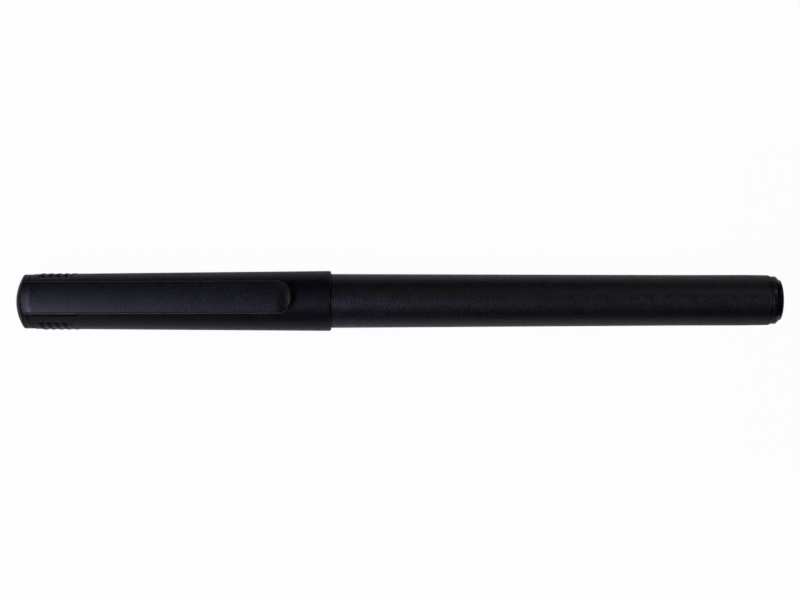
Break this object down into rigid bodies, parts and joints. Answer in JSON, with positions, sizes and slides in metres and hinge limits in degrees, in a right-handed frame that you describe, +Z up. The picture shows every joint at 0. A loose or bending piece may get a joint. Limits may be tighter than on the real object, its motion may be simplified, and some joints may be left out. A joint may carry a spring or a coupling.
{
  "type": "fineliner pen",
  "caption": "Slim fineliner pen with a tapered barrel, fibre ink store and steel-tube tip, closed by a push-on cap with a sealing liner, finger ribs and a springy pocket clip.",
  "frame": {"origin": "on the surface that the pen lies on, below the middle of its length", "axes": "+X along the pen towards its tail plug, +Z up through the middle of the clip, +Y to the left when looking from the crown towards the tail"},
  "size_m": [0.14, 0.011, 0.0132],
  "materials": {
    "matte_black": "fine spark-eroded moulded texture",
    "gloss_black": "smooth moulded gloss",
    "natural_polymer": "milky unpigmented moulding",
    "clear_film": "thin wrapped film",
    "inked_fibre": "bonded fibre soaked with ink",
    "nib_polymer": "ground point",
    "tip_steel": "drawn tube, bright"
  },
  "bodies": {
    "barrel": {"barrel": "matte_black", "tail_plug": "gloss_black", "ink_reservoir": "inked_fibre", "reservoir_sleeve": "clear_film", "feed_wick": "inked_fibre", "nose_section": "gloss_black", "tip_tube": "tip_steel", "nib": "nib_polymer"},
    "cap": {"cap_shell": "matte_black", "cap_liner": "natural_polymer", "cap_crown": "matte_black"},
    "clip": {"clip_arm": "matte_black"}
  },
  "joints": [
    {"name": "cap_pull", "type": "slide", "parent": "barrel", "child": "cap", "axis": [-1, 0, 0], "range_m": [0, 0.055]},
    {"name": "clip_flex", "type": "hinge", "parent": "cap", "child": "clip", "pos_m": [-0.05856, 0, 0.01286], "axis": [0, -1, 0], "range_deg": [0, 5], "stiffness_Nm_per_rad": 0.9}
  ]
}
